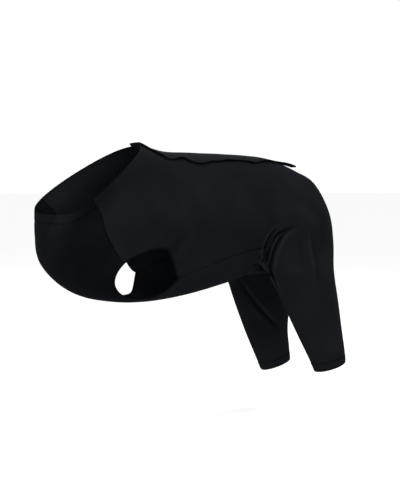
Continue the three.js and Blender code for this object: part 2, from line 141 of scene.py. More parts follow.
def smooth(keys, place):
    """Smooth curve through equally spaced rows, by Catmull and Rom's formula."""
    keys = np.asarray(keys, float)
    place = np.asarray(place, float)
    last = len(keys) - 1
    i = np.clip(np.floor(place).astype(int), 0, last - 1)
    t = (place - i)[..., None]
    b, c = keys[i], keys[i + 1]
    a = np.where((i > 0)[..., None], keys[np.maximum(i - 1, 0)], 2 * b - c)
    d = np.where((i < last - 1)[..., None], keys[np.minimum(i + 2, last)], 2 * c - b)
    return 0.5 * (2 * b + (c - a) * t + (2 * a - 5 * b + 4 * c - d) * t ** 2
                  + (3 * b - a - 3 * c + d) * t ** 3)


def value_at(keys, value):
    """Smooth value among rows whose first column rises."""
    keys = np.asarray(keys, float)
    return smooth(keys, np.interp(value, keys[:, 0], np.arange(len(keys))))


# Columns of a section after its top and low points.
WIDTH, WIDEST, FORWARD, ROUND, REACH = range(6, 11)


def section_keys(sections, top_z, low_z, *rest):
    """Sections as rows in millimetres, with the columns after widest given as rest."""
    top_y, low_y = (sections.get(key, 0) * HALF_CHEST for key in ("top_y", "low_y"))
    columns = [sections["top_x"] * BACK_LENGTH, top_y, top_z, sections["low_x"] * BACK_LENGTH, low_y,
               low_z, sections["width"] * HALF_CHEST, sections["widest"], *rest]
    return np.stack(np.broadcast_arrays(*columns), axis=1)


TRUNK_KEYS = section_keys(TRUNK, TRUNK["top_z"] * BODY_DEPTH, TRUNK["low_z"] * BODY_DEPTH,
                          TRUNK["forward"] * BACK_LENGTH, TRUNK["round"])


def fall_of(share, widest):
    """How far down a section has come after a share of its half turn."""
    even = (1 - np.cos(share * np.pi)) / 2
    return even + 4 * (widest - 0.5) * even * (1 - even)


def section_point(row, turn, reach, outward):
    """Point of a section, which bulges sideways as a sine of its turn."""
    def bulge(share):
        return np.clip(np.sin(share * np.pi), 0, 1) ** row[..., ROUND]
    down = fall_of(turn, row[..., WIDEST]) / fall_of(reach, row[..., WIDEST])
    out = bulge(turn) - down * bulge(reach)
    point = row[..., 0:3] + (row[..., 3:6] - row[..., 0:3]) * down[..., None]
    point[..., 0] -= row[..., FORWARD] * out
    point[..., 1] += outward * row[..., WIDTH] * out
    return point


def trunk_point(station, turn):
    """Point of the trunk after a share of the half turn from the spine to the belly's middle."""
    station, turn = np.broadcast_arrays(np.asarray(station, float), np.asarray(turn, float))
    return section_point(smooth(TRUNK_KEYS, station), turn, np.ones_like(turn), 1)


def armhole_turn(edge, share):
    """Half-turn share of an armhole's upper or lower edge, by the share of the way to its back."""
    return smooth(np.array(edge)[:, None], np.asarray(share) * (len(edge) - 1))[..., 0]


def panel_edge(station, armhole):
    """Edge of a panel on the trunk, as a share of the half turn."""
    station = np.asarray(station, float)
    way = np.arccos(np.clip((ARMHOLE_MIDDLE - station) / ARMHOLE_HALF, -1, 1)) / np.pi
    chest = value_at(CHEST_SEAM, np.minimum(station, ARMHOLE_FRONT))[..., 1]
    belly = value_at(BELLY_SEAM, np.clip(station, ARMHOLE_BACK, LOIN))[..., 1]
    behind = np.where(station < ARMHOLE_BACK, armhole_turn(armhole, way), belly)
    return np.where(station <= ARMHOLE_FRONT, chest, behind)


def leg_keys(length):
    """Sections of a haunch and sleeve, led in by two trunk sections cut off at the belly seam."""
    rows = []
    for station in (LOIN - 1, LOIN):
        turn = float(panel_edge(station, ARMHOLE_UPPER))
        row = smooth(TRUNK_KEYS, station)
        edge = trunk_point(station, turn)
        rows.append([row[0], 0, row[2], *edge, row[WIDTH], row[WIDEST], 0, 1, turn])
    haunch = section_keys(HAUNCH, HAUNCH["top_z"] * BODY_DEPTH, HAUNCH["low_z"] * BODY_DEPTH,
                          0, 1, HAUNCH["reach"])
    top_z = HAUNCH["top_z"][-1] * BODY_DEPTH - SLEEVE["top_drop"] * length
    low_z = HAUNCH["low_z"][-1] * BODY_DEPTH - SLEEVE["low_drop"] * length
    sleeve = section_keys(SLEEVE, top_z, low_z, 0, 1, 1)
    return np.vstack([rows, haunch, sleeve])


LEG_KEYS = {side: leg_keys(length) for side, length in SLEEVE_LENGTH.items()}
HEM_STEP = {side: length * (SLEEVE["low_drop"][-1] - SLEEVE["low_drop"][-2])
            for side, length in SLEEVE_LENGTH.items()}
CUFF_STATION = {side: HEM - CUFF_DEPTH / HEM_STEP[side] for side in SLEEVE_LENGTH}


def leg_row(side, station):
    row = smooth(LEG_KEYS[side], np.asarray(station, float) - LOIN + 1)
    row[..., 1] = np.maximum(row[..., 1], 0)
    return row


def leg_point(side, station, share, outward=1):
    """Point of a leg's section, on its outer half or, with outward -1, its inner half."""
    station, share = np.broadcast_arrays(np.asarray(station, float), np.asarray(share, float))
    row = leg_row(side, station)
    reach = np.minimum(row[..., REACH], 1)
    return section_point(row, share * reach, reach, 1 if outward > 0 else -INNER_THIGH_SHARE)


def to_side(points, side):
    return points * np.array([1, side, 1])


def side_surface(side, station, share):
    """Side panel: share 0 is the spine or the tail opening, and 1 the seam to the underside."""
    station, share = np.broadcast_arrays(np.asarray(station, float), np.asarray(share, float))
    ahead = np.minimum(station, LOIN)
    trunk = trunk_point(ahead, share * panel_edge(ahead, ARMHOLE_UPPER))
    leg = leg_point(side, np.maximum(station, LOIN), share)
    return to_side(np.where((station > LOIN)[..., None], leg, trunk), side)


def underside_edge(side, station):
    thigh = leg_point(side, CROTCH, np.clip(1 - (station - CROTCH) / THIGH_STEPS, 0, 1), -1)
    return np.where((station <= CROTCH)[..., None], leg_point(side, np.clip(station, LOIN, CROTCH), 1),
                    thigh)


def underside_half(side, station, share):
    """Half of the underside: share 0 is its middle line and 1 its edge."""
    start = panel_edge(np.minimum(station, LOIN), ARMHOLE_LOWER)
    turn = 1 - (1 - start) * share
    trunk = trunk_point(np.minimum(station, LOIN), turn)
    edge = underside_edge(side, station)
    middle = value_at(CROTCH_LINE, np.clip((station - LOIN) / (REAR - LOIN), 0, 1))
    widest = TRUNK["widest"][LOIN]
    skipped = fall_of(start, widest)
    down = (fall_of(turn, widest) - skipped) / (1 - skipped)
    aside = np.sin(turn * np.pi) / np.sin(start * np.pi)
    back = np.stack([
        edge[..., 0] + (middle[..., 1] * BACK_LENGTH - edge[..., 0]) * down, edge[..., 1] * aside,
        edge[..., 2] + (middle[..., 2] * BODY_DEPTH - edge[..., 2]) * down], axis=-1)
    return to_side(np.where((station > LOIN)[..., None], back, trunk), side)


def underside_surface(station, place):
    """Underside from its left edge, -1, over the middle line to its right edge, 1."""
    station, place = np.broadcast_arrays(np.asarray(station, float), np.asarray(place, float))
    left = underside_half(-1, station, np.abs(place))
    right = underside_half(1, station, np.abs(place))
    return np.where((place < 0)[..., None], left, right)


def band_station(place, depth):
    step = underside_surface(0.0, place) - underside_surface(1.0, place)
    return depth / np.linalg.norm(step, axis=-1)


def spine_surface(reach_at):
    """A strip over the spine, from the left, -1, to the right, 1."""
    def surface(station, place):
        station, place = np.broadcast_arrays(np.asarray(station, float), np.asarray(place, float))
        left, right = reach_at(station)
        turn = np.abs(place) * np.where(place < 0, left, right)
        trunk = trunk_point(np.minimum(station, LOIN), turn)
        row = leg_row(-1, np.maximum(station, LOIN))
        rump = section_point(row, turn, np.minimum(row[..., REACH], 1), 1)
        point = np.where((station > LOIN)[..., None], rump, trunk)
        point[..., 1] *= np.where(place < 0, -1, 1)
        return point
    return surface


# Folds of the cloth on the left side, mirrored more softly on the right: a line in millimetres, how wide
# and how high the fold stands, and the direction from it to the opposite form beside it. A height below
# 0 is a crease.
# Through the fold value the material also darkens each crease and lightens each ridge by its height:
# painted shade and painted highlight.
FOLDS = [
    ([(269, -101, -171), (251, -96, -193), (248, -91, -215), (250, -82, -234), (254, -70, -248)],
     2.6, -4.4, (-1, 0, 0.4)),
    ([(286, -110, -171), (267, -102, -187), (258, -94, -213), (257, -86, -234), (257, -74, -248)],
     2.6, -4.4, (1, 0, -0.4)),
    ([(315, -115, -163), (287, -110, -175), (269, -104, -203), (264, -93, -232), (265, -91, -261),
      (273, -96, -283)], 5.0, -2.8, (1, 0, 0)),
    ([(262, -90, -236), (263, -86, -252), (268, -88, -268), (272, -92, -282), (281, -95, -305)],
     3.4, -3.2, (1, 0, 0)),
    ([(256, -98, -196), (243, -86, -216), (240, -80, -234), (246, -72, -247)], 2.4, -2.4, (-1, 0, 0.4)),
    ([(236, -72, -243), (248, -68, -249), (259, -62, -254), (266, -62, -260), (274, -66, -266)],
     5.0, -5.5, (0, 0, 1)),
    ([(182, -61, -270), (228, -48, -265), (262, -50, -262)], 1.8, -0.9, (0, 0, 1)),
    ([(336, -123, -175), (334, -130, -205), (340, -133, -236), (342, -136, -270), (347, -136, -285)],
     4.5, 1.1, (1, 0, 0)),
    ([(306, -115, -190), (310, -120, -225), (312, -122, -262)], 5.0, 0.7, (1, 0, 0)),
    ([(284, -68, -282), (311, -65, -317), (335, -64, -344), (362, -66, -370), (392, -72, -394)],
     4.0, -4.0, (1, 0, 1)),
    ([(292, -60, -300), (316, -60, -334), (340, -62, -360), (360, -66, -385)], 5.0, -1.6, (-1, 0, -1)),
    ([(318, -120, -110), (345, -118, -140), (362, -112, -175)], 16, 0.8, (1, 0, 0)),
    ([(12, -110, -222), (30, -112, -196), (52, -112, -172)], 9, -0.9, (1, 0, 0)),
]
MIRRORED_SHARE = 0.8
MIRRORED_SHIFT = (4, 0, 3)
LINE_CORNERS = 13
END_CUT = 0.02
END_TAPER = 0.6
BESIDE_SHARE = 0.7
BESIDE_AT = 1.7

# Soft waves of the cloth as wavelength and height, how they vary, and where seams hold the relief down.
LONG_WAVES = (70, 0.9)
SHORT_WAVES = (26, 0.25)
FLAP_WAVES = (40, 0.6)
WAVES = np.random.default_rng(7).normal(size=(10, 4))
WAVE_SPREAD = 0.3
PHASE_RATE = 9
HELD_WIDTH = 3.5
HELD_FROM = (225, 250)

# How seams and folds darken or lighten the cloth: a darker line along the seams, painted shade in the
# creases of the folds and a painted highlight where a fold stands proud.
SEAM_SHADE = 0.8
SEAM_SHADE_WIDTH = 1.3
FOLD_SHADE_HEIGHT = 2.2
FOLD_SHADE_SHARE = 0.68


def eased(value, low, high):
    """A soft step from 0 at low to 1 at high."""
    t = np.clip((value - low) / (high - low), 0, 1)
    return t * t * (3 - 2 * t)


def near_line(points, line):
    """Distance of points to a line of corners, the share along it and the nearest points."""
    line = np.array(line, float)
    steps = np.linalg.norm(np.diff(line, axis=0), axis=1)
    starts = np.concatenate([[0], np.cumsum(steps)[:-1]])
    best = np.full(points.shape[:-1], np.inf)
    share = np.zeros(points.shape[:-1])
    nearest = np.zeros(points.shape)
    for a, b, step, start in zip(line[:-1], line[1:], steps, starts):
        t = np.clip(((points - a) @ (b - a)) / step ** 2, 0, 1)
        foot = a + t[..., None] * (b - a)
        gap = np.linalg.norm(points - foot, axis=-1)
        closer = gap < best
        best = np.where(closer, gap, best)
        share = np.where(closer, (start + t * step) / steps.sum(), share)
        nearest = np.where(closer[..., None], foot, nearest)
    return best, share, nearest


def fold_height(points, fold):
    """How far one fold lifts the cloth at each point."""
    marks, width, height, beside = fold
    line = smooth(marks, np.linspace(0, len(marks) - 1, LINE_CORNERS))
    gap, share, nearest = near_line(points, line)
    across = np.sign((points - nearest) @ np.array(beside, float)) * gap / width
    taper = np.clip(np.sin(np.pi * np.clip(share, END_CUT, 1 - END_CUT)), 0, 1) ** END_TAPER
    shape = np.exp(-across ** 2) - BESIDE_SHARE * np.exp(-(across - BESIDE_AT) ** 2)
    return height * taper * shape


def soft_waves(points, wavelength, height):
    """A gentle unevenness of the cloth: a sum of slanting waves."""
    total = np.zeros(points.shape[:-1])
    for x, y, z, phase in WAVES:
        direction = np.array([x, y, z]) / math.sqrt(x * x + y * y + z * z)
        length = wavelength * (1 + WAVE_SPREAD * phase % 1)
        total += np.sin(points @ direction * 2 * np.pi / length + PHASE_RATE * phase)
    return height * total / len(WAVES)


def relief(points):
    """How far the cloth stands off its plain surface, in millimetres."""
    height = soft_waves(points, *LONG_WAVES) + soft_waves(points[..., ::-1], *SHORT_WAVES)
    mirrored = points * np.array([1, -1, 1]) + np.array(MIRRORED_SHIFT)
    for fold in FOLDS:
        height += fold_height(points, fold) + MIRRORED_SHARE * fold_height(mirrored, fold)
    return height


def spaced(*marks):
    """Rising numbers through marks, given as value, count, value, count and so on."""
    steps = zip(marks[:-2:2], marks[1::2], marks[2::2])
    parts = [np.linspace(a, b, n, endpoint=False) for a, n, b in steps]
    return np.concatenate(parts + [[marks[-1]]])


def with_rims(numbers, rim):
    """The same numbers with one more close to each end, so that the edges stay crisp."""
    first, last = numbers[0], numbers[-1]
    return np.concatenate([[first, first + rim], numbers[1:-1], [last - rim, last]])


def lattice(surface, rows, cols):
    """Points of a surface at every crossing of its rows and columns."""
    return surface(*np.meshgrid(rows, cols, indexing="ij"))


def normals_of(points, sign, ring):
    """Unit normals: at each point the mean of the quads round it, weighted by their area."""
    grid = np.concatenate([points, points[:, :1]], axis=1) if ring else points
    quads = np.cross(grid[1:, 1:] - grid[:-1, :-1], grid[:-1, 1:] - grid[1:, :-1])
    total = np.zeros_like(grid)
    for rows in (slice(None, -1), slice(1, None)):
        for cols in (slice(None, -1), slice(1, None)):
            total[rows, cols] += quads
    if ring:
        total[:, 0] += total[:, -1]
        total = total[:, :-1]
    return total * sign / np.maximum(np.linalg.norm(total, axis=-1, keepdims=True), 1e-9)


def arc_lengths(points, axis):
    """Length along the cloth from the first row or column to each point."""
    steps = np.linalg.norm(np.diff(points, axis=axis), axis=-1)
    pad = [(1, 0), (0, 0)] if axis == 0 else [(0, 0), (1, 0)]
    return np.pad(np.cumsum(steps, axis=axis), pad)


def edge_distance(points, ring):
    """Distance in the cloth from each point to the nearest edge of its panel."""
    rows = arc_lengths(points, 0)
    gap = np.minimum(rows, rows[-1:] - rows)
    if not ring:
        cols = arc_lengths(points, 1)
        gap = np.minimum(gap, np.minimum(cols, cols[:, -1:] - cols))
    return gap


def wall_faces(rows, cols, sign, ring):
    """Quads of a closed wall: the outer face, the inner face and the rims between them."""
    last = cols if ring else cols - 1
    i, j = np.meshgrid(np.arange(rows - 1), np.arange(last), indexing="ij")
    k = (j + 1) % cols
    inner = rows * cols
    top = np.stack([i * cols + j, (i + 1) * cols + j, (i + 1) * cols + k, i * cols + k], axis=-1)
    bottom = inner + top[..., ::-1]
    parts = [top.reshape(-1, 4), bottom.reshape(-1, 4)]
    j = np.arange(last)
    k = (j + 1) % cols
    end = (rows - 1) * cols
    parts.append(np.stack([j, k, inner + k, inner + j], axis=-1))
    parts.append(np.stack([end + j, inner + end + j, inner + end + k, end + k], axis=-1))
    if not ring:
        i = np.arange(rows - 1) * cols
        parts.append(np.stack([i, inner + i, inner + i + cols, i + cols], axis=-1))
        i = i + cols - 1
        parts.append(np.stack([i, i + cols, inner + i + cols, inner + i], axis=-1))
    faces = np.concatenate(parts)
    return faces if sign > 0 else faces[:, ::-1]


def make_object(name, vertices, faces, material, flat_map=None, **values):
    """A smooth mesh from millimetres, with its flat cloth map and its named values at the vertices."""
    mesh = bpy.data.meshes.new(name)
    mesh.from_pydata((vertices * MM).tolist(), [], faces.tolist())
    mesh.polygons.foreach_set("use_smooth", np.ones(len(mesh.polygons), bool))
    corners = np.empty(len(mesh.loops), int)
    mesh.loops.foreach_get("vertex_index", corners)
    if flat_map is not None:
        layer = mesh.uv_layers.new(name="cloth")
        layer.data.foreach_set("uv", (flat_map[corners] * MM).ravel())
    for key, numbers in values.items():
        mesh.attributes.new(key, "FLOAT", "POINT").data.foreach_set("value", numbers)
    mesh.materials.append(material)
    mesh.update()
    piece = bpy.data.objects.new(name, mesh)
    bpy.context.scene.collection.objects.link(piece)
    return piece


def ride(piece, nodes=()):
    """Hand a piece to the frame and the solids that it replaces."""
    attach(piece, "root")
    if nodes:
        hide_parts(*nodes)
    return piece


def seam_hold(points, seam):
    """Share of the relief held down along the seams behind the loin, where panels meet at an angle."""
    return np.exp(-(seam / HELD_WIDTH) ** 2) * eased(points[..., 0], *HELD_FROM)


def cloth_wall(name, points, sign, material, wall, ring=False, lift=0, dip=SEAM_DIP, folded=True,
               tone=None):
    """A panel as a closed wall over its surface, sunk a little along its seams."""
    normal = normals_of(points, sign, ring)
    seam = edge_distance(points, ring)
    height = lift - dip * np.exp(-(seam / SEAM_DIP_WIDTH) ** 2)
    # The fold value: a darker line along the seams, with painted shade in the creases and a painted
    # highlight on the ridges of the folds, from their full height even where seams hold the relief down.
    shade = -SEAM_SHADE * np.exp(-(seam / SEAM_SHADE_WIDTH) ** 2)
    if folded:
        folds = relief(points)
        height = height + folds * (1 - seam_hold(points, seam))
        shade = shade + np.clip(folds / FOLD_SHADE_HEIGHT, -1, 1)
    outer = points + normal * height[..., None]
    inner = outer - normal * wall
    rows, cols = points.shape[:2]
    flat = np.stack([arc_lengths(points, 0), arc_lengths(points, 1)], axis=-1).reshape(-1, 2)
    vertices = np.concatenate([outer.reshape(-1, 3), inner.reshape(-1, 3)])
    tones = np.zeros(points.shape[:2]) if tone is None else tone
    return make_object(name, vertices, wall_faces(rows, cols, sign, ring), material,
                       np.tile(flat, (2, 1)), tone=np.tile(tones.ravel(), 2),
                       fold=np.tile(shade.ravel(), 2))


def unit(vectors):
    return vectors / np.linalg.norm(vectors, axis=-1, keepdims=True)


def loop_tangents(path):
    """Unit directions along a closed path."""
    return unit(np.roll(path, -1, axis=0) - np.roll(path, 1, axis=0))


TUBE_SIDES = 10


def tube(name, path, up, radius, material):
    """A round roll along a closed path, with one radius or one for each point."""
    count = len(path)
    radius = np.broadcast_to(radius, count)[:, None]
    tangent = loop_tangents(path)
    side = unit(np.cross(tangent, up))
    top = np.cross(side, tangent)
    angle = np.arange(TUBE_SIDES) * 2 * np.pi / TUBE_SIDES
    ring = np.cos(angle)[None, :, None] * side[:, None] + np.sin(angle)[None, :, None] * top[:, None]
    vertices = (path[:, None] + radius[..., None] * ring).reshape(-1, 3)
    i, k = np.meshgrid(np.arange(count) * TUBE_SIDES, np.arange(TUBE_SIDES), indexing="ij")
    after, beside = np.roll(i, -1, axis=0), np.roll(k, -1, axis=1)
    faces = np.stack([i + k, after + k, after + beside, i + beside], axis=-1).reshape(-1, 4)
    lengths = np.concatenate([[0], np.cumsum(np.linalg.norm(np.diff(path, axis=0), axis=1))])
    flat = np.stack(np.broadcast_arrays(lengths[:, None], angle[None] * radius), axis=-1)
    return make_object(name, vertices, faces, material, flat.reshape(-1, 2))


def resampled(path, pitch):
    """Points at an even pitch along a path, and the places between its corners."""
    lengths = np.concatenate([[0], np.cumsum(np.linalg.norm(np.diff(path, axis=0), axis=1))])
    marks = np.arange(pitch / 2, lengths[-1], pitch)
    place = np.interp(marks, lengths, np.arange(len(path)))
    i = np.minimum(place.astype(int), len(path) - 2)
    t = (place - i)[:, None]
    return path[i] * (1 - t) + path[i + 1] * t, place


# A stitch is a small closed body: rings along it, each a place from -1 to 1 and a share of its girth.
STITCH_SIDES = 6
STITCH_RINGS = np.array([[-1.0, 0.15], [-0.8, 0.7], [-0.3, 1.0], [0.3, 1.0], [0.8, 0.7], [1.0, 0.15]])
STITCH_LENGTH = 2.6
STITCH_PITCH = 3.4
STITCH_HALF_WIDTH = 0.32
STITCH_HALF_HEIGHT = 0.26
STITCH_RISE = 0.12
STITCH_SAG = 0.3


def stitch_body(middle, along, across, up):
    """Corners of one stitch, ring by ring. Its ends dip into the cloth."""
    angle = np.arange(STITCH_SIDES) * 2 * np.pi / STITCH_SIDES
    ring = np.outer(np.cos(angle), across) * STITCH_HALF_WIDTH
    ring = ring + np.outer(np.sin(angle), up) * STITCH_HALF_HEIGHT
    body = []
    for place, girth in STITCH_RINGS:
        rise = STITCH_RISE - STITCH_SAG * place ** 4
        body.append(middle + along * place * STITCH_LENGTH / 2 + up * rise + ring * girth)
    return np.concatenate(body)


def stitch_faces(base):
    """Faces of a stitch whose first corner has the number base."""
    faces = []
    for low in range(base, base + (len(STITCH_RINGS) - 1) * STITCH_SIDES, STITCH_SIDES):
        high = low + STITCH_SIDES
        for k in range(STITCH_SIDES):
            beside = (k + 1) % STITCH_SIDES
            faces.append([low + k, low + beside, high + beside, high + k])
    last = base + (len(STITCH_RINGS) - 1) * STITCH_SIDES
    faces.append([base + k for k in reversed(range(STITCH_SIDES))])
    faces.append([last + k for k in range(STITCH_SIDES)])
    return faces


def stitch_row(name, path, up, material):
    """A row of thread stitches that lie on the cloth along a path."""
    middles, place = resampled(path, STITCH_PITCH)
    i = np.clip(place.astype(int), 0, len(path) - 2)
    along = unit(path[i + 1] - path[i])
    normal = up[i]
    across = np.cross(normal, along)
    bodies = [stitch_body(*parts) for parts in zip(middles, along, across, normal)]
    step = len(STITCH_RINGS) * STITCH_SIDES
    faces = [face for n in range(len(bodies)) for face in stitch_faces(n * step)]
    return make_object(name, np.concatenate(bodies), np.array(faces, object), material)


# Colours, linear, and how far each cloth's shade wanders from its colour.
SIDE_COLOUR = (0.0079, 0.0088, 0.0112)
UNDERSIDE_COLOUR = (0.0036, 0.0044, 0.0060)
FLAP_COLOUR = (0.0080, 0.0094, 0.0108)
EDGE_COLOUR = (0.0014, 0.0017, 0.0022)
THREAD_COLOUR = (0.004, 0.004, 0.0045)
FLOOR_COLOUR = (0.93, 0.93, 0.93)
JERSEY_SHADES = (0.82, 1.18)
EDGE_SHADES = (0.6, 1.5)
THREAD_SHADES = (0.7, 1.4)
FLOOR_SHADES = (0.99, 1.01)

# The knit of the jersey and the slanting thread of the edges, in metres of the flat cloth map.
WALE = 0.0011
COURSE = 0.0009
LOOP_LEAN = 2.4
LOOP_HEIGHT = (0.6, 0.4)
EDGE_PITCH = 0.0012
EDGE_SLANT = 0.35

# How the loops and the lint shade and roughen the jersey, each a factor and a number added.
LOOP_SHADE = (0.55, 0.62)
LINT_SHADE = (0.5, 0.75)
LINT_ROUGHNESS = (0.14, 0.78)
KNIT_SHARE = 0.7
JERSEY_SHEEN = 0.008
FLAP_SHEEN = 0.02

# Bumps: depth in metres and strength. Noises: waves a metre and detail.
KNIT_BUMP = (0.00025, 0.55)
EDGE_BUMP = (0.0003, 0.6)
TWIST_BUMP = (0.0001, 0.5)
CLOUD = (14, 4.0)
LINT = (900, 3.0)
TWIST = (2500, 2.0)
GRAIN = (3, 2.0)


def shaded(colour, factor):
    """A colour times a factor, with full alpha."""
    return (*(v * factor for v in colour), 1)


class Nodes:
    """A new material, with short calls to add and join its shader nodes."""

    def __init__(self, name):
        self.material = bpy.data.materials.new(name)
        self.material.use_nodes = True
        self.tree = self.material.node_tree
        self.shader = self.tree.nodes["Principled BSDF"]

    def add(self, kind, **values):
        node = self.tree.nodes.new(kind)
        for key, value in values.items():
            setattr(node, key, value)
        return node

    def put(self, socket, value):
        if isinstance(value, bpy.types.NodeSocket):
            self.tree.links.new(value, socket)
        else:
            socket.default_value = value

    def math(self, operation, a, b=0.0):
        node = self.add("ShaderNodeMath", operation=operation)
        self.put(node.inputs[0], a)
        self.put(node.inputs[1], b)
        return node.outputs[0]

    def noise(self, scale, detail):
        """Noise over the piece's own coordinates."""
        node = self.add("ShaderNodeTexNoise")
        self.put(node.inputs["Vector"], self.add("ShaderNodeTexCoord").outputs["Object"])
        node.inputs["Scale"].default_value = scale
        node.inputs["Detail"].default_value = detail
        return node.outputs["Fac"]

    def mix(self, share, a, b):
        node = self.add("ShaderNodeMix", data_type="RGBA")
        self.put(node.inputs["Factor"], share)
        self.put(node.inputs[6], a)
        self.put(node.inputs[7], b)
        return node.outputs[2]

    def scaled(self, value, factor, added):
        """A value times a factor, plus a number."""
        return self.math("ADD", self.math("MULTIPLY", value, factor), added)

    def sine(self, value):
        """Sine of a value, moved to lie from 0 to 1."""
        return self.scaled(self.math("SINE", value), 0.5, 0.5)

    def shades(self, share, colour, limits):
        """A colour that goes from a darker to a lighter shade of itself."""
        return self.mix(share, shaded(colour, limits[0]), shaded(colour, limits[1]))

    def fix(self, values):
        """Set plain values of the shader, by the names of its inputs."""
        for key, value in values.items():
            self.shader.inputs[key].default_value = value

    def colour(self, value):
        self.put(self.shader.inputs["Base Color"], value)

    def bump(self, height, distance, strength):
        node = self.add("ShaderNodeBump")
        node.inputs["Distance"].default_value = distance
        node.inputs["Strength"].default_value = strength
        self.put(node.inputs["Height"], height)
        self.put(self.shader.inputs["Normal"], node.outputs["Normal"])


def flat_map_parts(nodes):
    """The two lengths of the flat cloth map, in metres."""
    parts = nodes.add("ShaderNodeSeparateXYZ")
    nodes.put(parts.inputs[0], nodes.add("ShaderNodeUVMap", uv_map="cloth").outputs["UV"])
    return parts.outputs["X"], parts.outputs["Y"]


def named_value(nodes, name):
    """A value that cloth_wall stores at the vertices."""
    return nodes.add("ShaderNodeAttribute", attribute_name=name).outputs["Fac"]


def knit_height(nodes):
    """Height of a fine jersey: ribs of loops whose two legs lean towards each other."""
    along, across = flat_map_parts(nodes)
    rib = nodes.math("ABSOLUTE", nodes.math("SINE", nodes.math("MULTIPLY", across, math.pi / WALE)))
    leg = nodes.math("PINGPONG", nodes.math("DIVIDE", across, WALE), 0.5)
    lean = nodes.math("MULTIPLY", leg, LOOP_LEAN)
    turn = nodes.math("MULTIPLY", along, 2 * math.pi / COURSE)
    loop = nodes.sine(nodes.math("ADD", turn, lean))
    return nodes.math("MULTIPLY", rib, nodes.scaled(loop, *LOOP_HEIGHT))


def jersey(name, colour, dark_colour=None, sheen=JERSEY_SHEEN):
    """Stretch jersey. With a dark colour, the tone attribute mixes the two."""
    nodes = Nodes(name)
    knit = knit_height(nodes)
    cloud = nodes.noise(*CLOUD)
    lint = nodes.noise(*LINT)
    base = nodes.shades(cloud, colour, JERSEY_SHADES)
    if dark_colour is not None:
        dark = nodes.shades(cloud, dark_colour, JERSEY_SHADES)
        base = nodes.mix(named_value(nodes, "tone"), base, dark)
    # The fold value scales the colour: painted shade in the creases, a painted highlight on the ridges of
    # the folds, and a darker line along the seams.
    ridge = nodes.scaled(named_value(nodes, "fold"), FOLD_SHADE_SHARE, 1)
    loops = nodes.math("MULTIPLY", ridge, nodes.scaled(knit, *LOOP_SHADE))
    light = nodes.math("MULTIPLY", loops, nodes.scaled(lint, *LINT_SHADE))
    lit = nodes.add("ShaderNodeVectorMath", operation="SCALE")
    nodes.put(lit.inputs[0], base)
    nodes.put(lit.inputs["Scale"], light)
    nodes.colour(lit.outputs[0])
    nodes.put(nodes.shader.inputs["Roughness"], nodes.scaled(lint, *LINT_ROUGHNESS))
    nodes.fix({"Sheen Weight": sheen, "Sheen Roughness": 0.45, "Specular IOR Level": 0.05, "IOR": 1.1})
    height = nodes.math("ADD", nodes.math("MULTIPLY", knit, KNIT_SHARE),
                        nodes.math("MULTIPLY", lint, 1 - KNIT_SHARE))
    nodes.bump(height, *KNIT_BUMP)
    return nodes.material


def edge_cloth(name, colour):
    """Tightly stitched edge: short slanting ridges of thread across it."""
    nodes = Nodes(name)
    along, across = flat_map_parts(nodes)
    slant = nodes.math("ADD", along, nodes.math("MULTIPLY", across, EDGE_SLANT))
    ridge = nodes.sine(nodes.math("MULTIPLY", slant, 2 * math.pi / EDGE_PITCH))
    nodes.colour(nodes.shades(ridge, colour, EDGE_SHADES))
    nodes.fix({"Roughness": 0.8, "Specular IOR Level": 0.04})
    nodes.bump(ridge, *EDGE_BUMP)
    return nodes.material


def thread_cloth(name, colour):
    """Sewing thread, with a fine unevenness for its twist."""
    nodes = Nodes(name)
    twist = nodes.noise(*TWIST)
    nodes.colour(nodes.shades(twist, colour, THREAD_SHADES))
    nodes.fix({"Roughness": 0.8, "Specular IOR Level": 0.06})
    nodes.bump(twist, *TWIST_BUMP)
    return nodes.material


def floor_paint(name, colour):
    nodes = Nodes(name)
    grain = nodes.noise(*GRAIN)
    nodes.colour(nodes.shades(grain, colour, FLOOR_SHADES))
    nodes.fix({"Roughness": 0.95, "Specular IOR Level": 0.1})
    return nodes.material


SIDE_CLOTH = jersey("side_jersey", SIDE_COLOUR, UNDERSIDE_COLOUR)
UNDER_CLOTH = jersey("underside_jersey", SIDE_COLOUR, UNDERSIDE_COLOUR)
# The flap's second, dark colour is painted shade on its tail.
FLAP_CLOTH = jersey("flap_jersey", FLAP_COLOUR, EDGE_COLOUR, sheen=FLAP_SHEEN)
EDGE_CLOTH = edge_cloth("edge_trim", EDGE_COLOUR)
TAPE_CLOTH = jersey("fastening_tape", EDGE_COLOUR)
THREAD = thread_cloth("thread", THREAD_COLOUR)

# Cells along a panel: at the chest, armhole, belly, haunch or groin, and sleeve or crotch. Across a side
# panel they are the back's and the flank's, which meet at a share of its width. A rim is the step from
# an edge to the row or column beside it.
SIDE_CELLS = (50, 56, 40, 92, 60)
SIDE_ACROSS = (36, 88)
SIDE_RIM = 0.002
BACK_SHARE = 0.5
UNDERSIDE_CELLS = (56, 50, 40, 56, 40)
UNDERSIDE_RIM = 0.004
PANEL_RIM = 0.01

# Points of the other lattices, along and across, and their rims. The inner leg starts a gap below the
# crotch, in stations.
UNDERSIDE_ACROSS = 120
INNER_LEG_POINTS = (90, 60)
INNER_LEG_RIMS = (0.004, 0.003)
INNER_LEG_GAP = 0.003
CUFF_POINTS = (16, 240)
CUFF_RIM = 0.012
BAND_POINTS = (16, 150)
BAND_RIMS = (0.02, 0.004)
ARMHOLE_POINTS = 220
TAIL_EDGE_POINTS = (90, 40)
TAPE_POINTS = (120, 20)

# A small step along or across a surface, to find its slope.
NEAR_STEP = 0.01

# The front panel is dark on the chest, and turns into the sides' colour between these stations.
DARK_CHEST = (ARMHOLE_FRONT + 0.5, ARMHOLE_BACK)

# Depths of the hem's stitch rows below the upper edge of a cuff, in millimetres.
HEM_STITCH_DEPTHS = (1.6, 3.6)


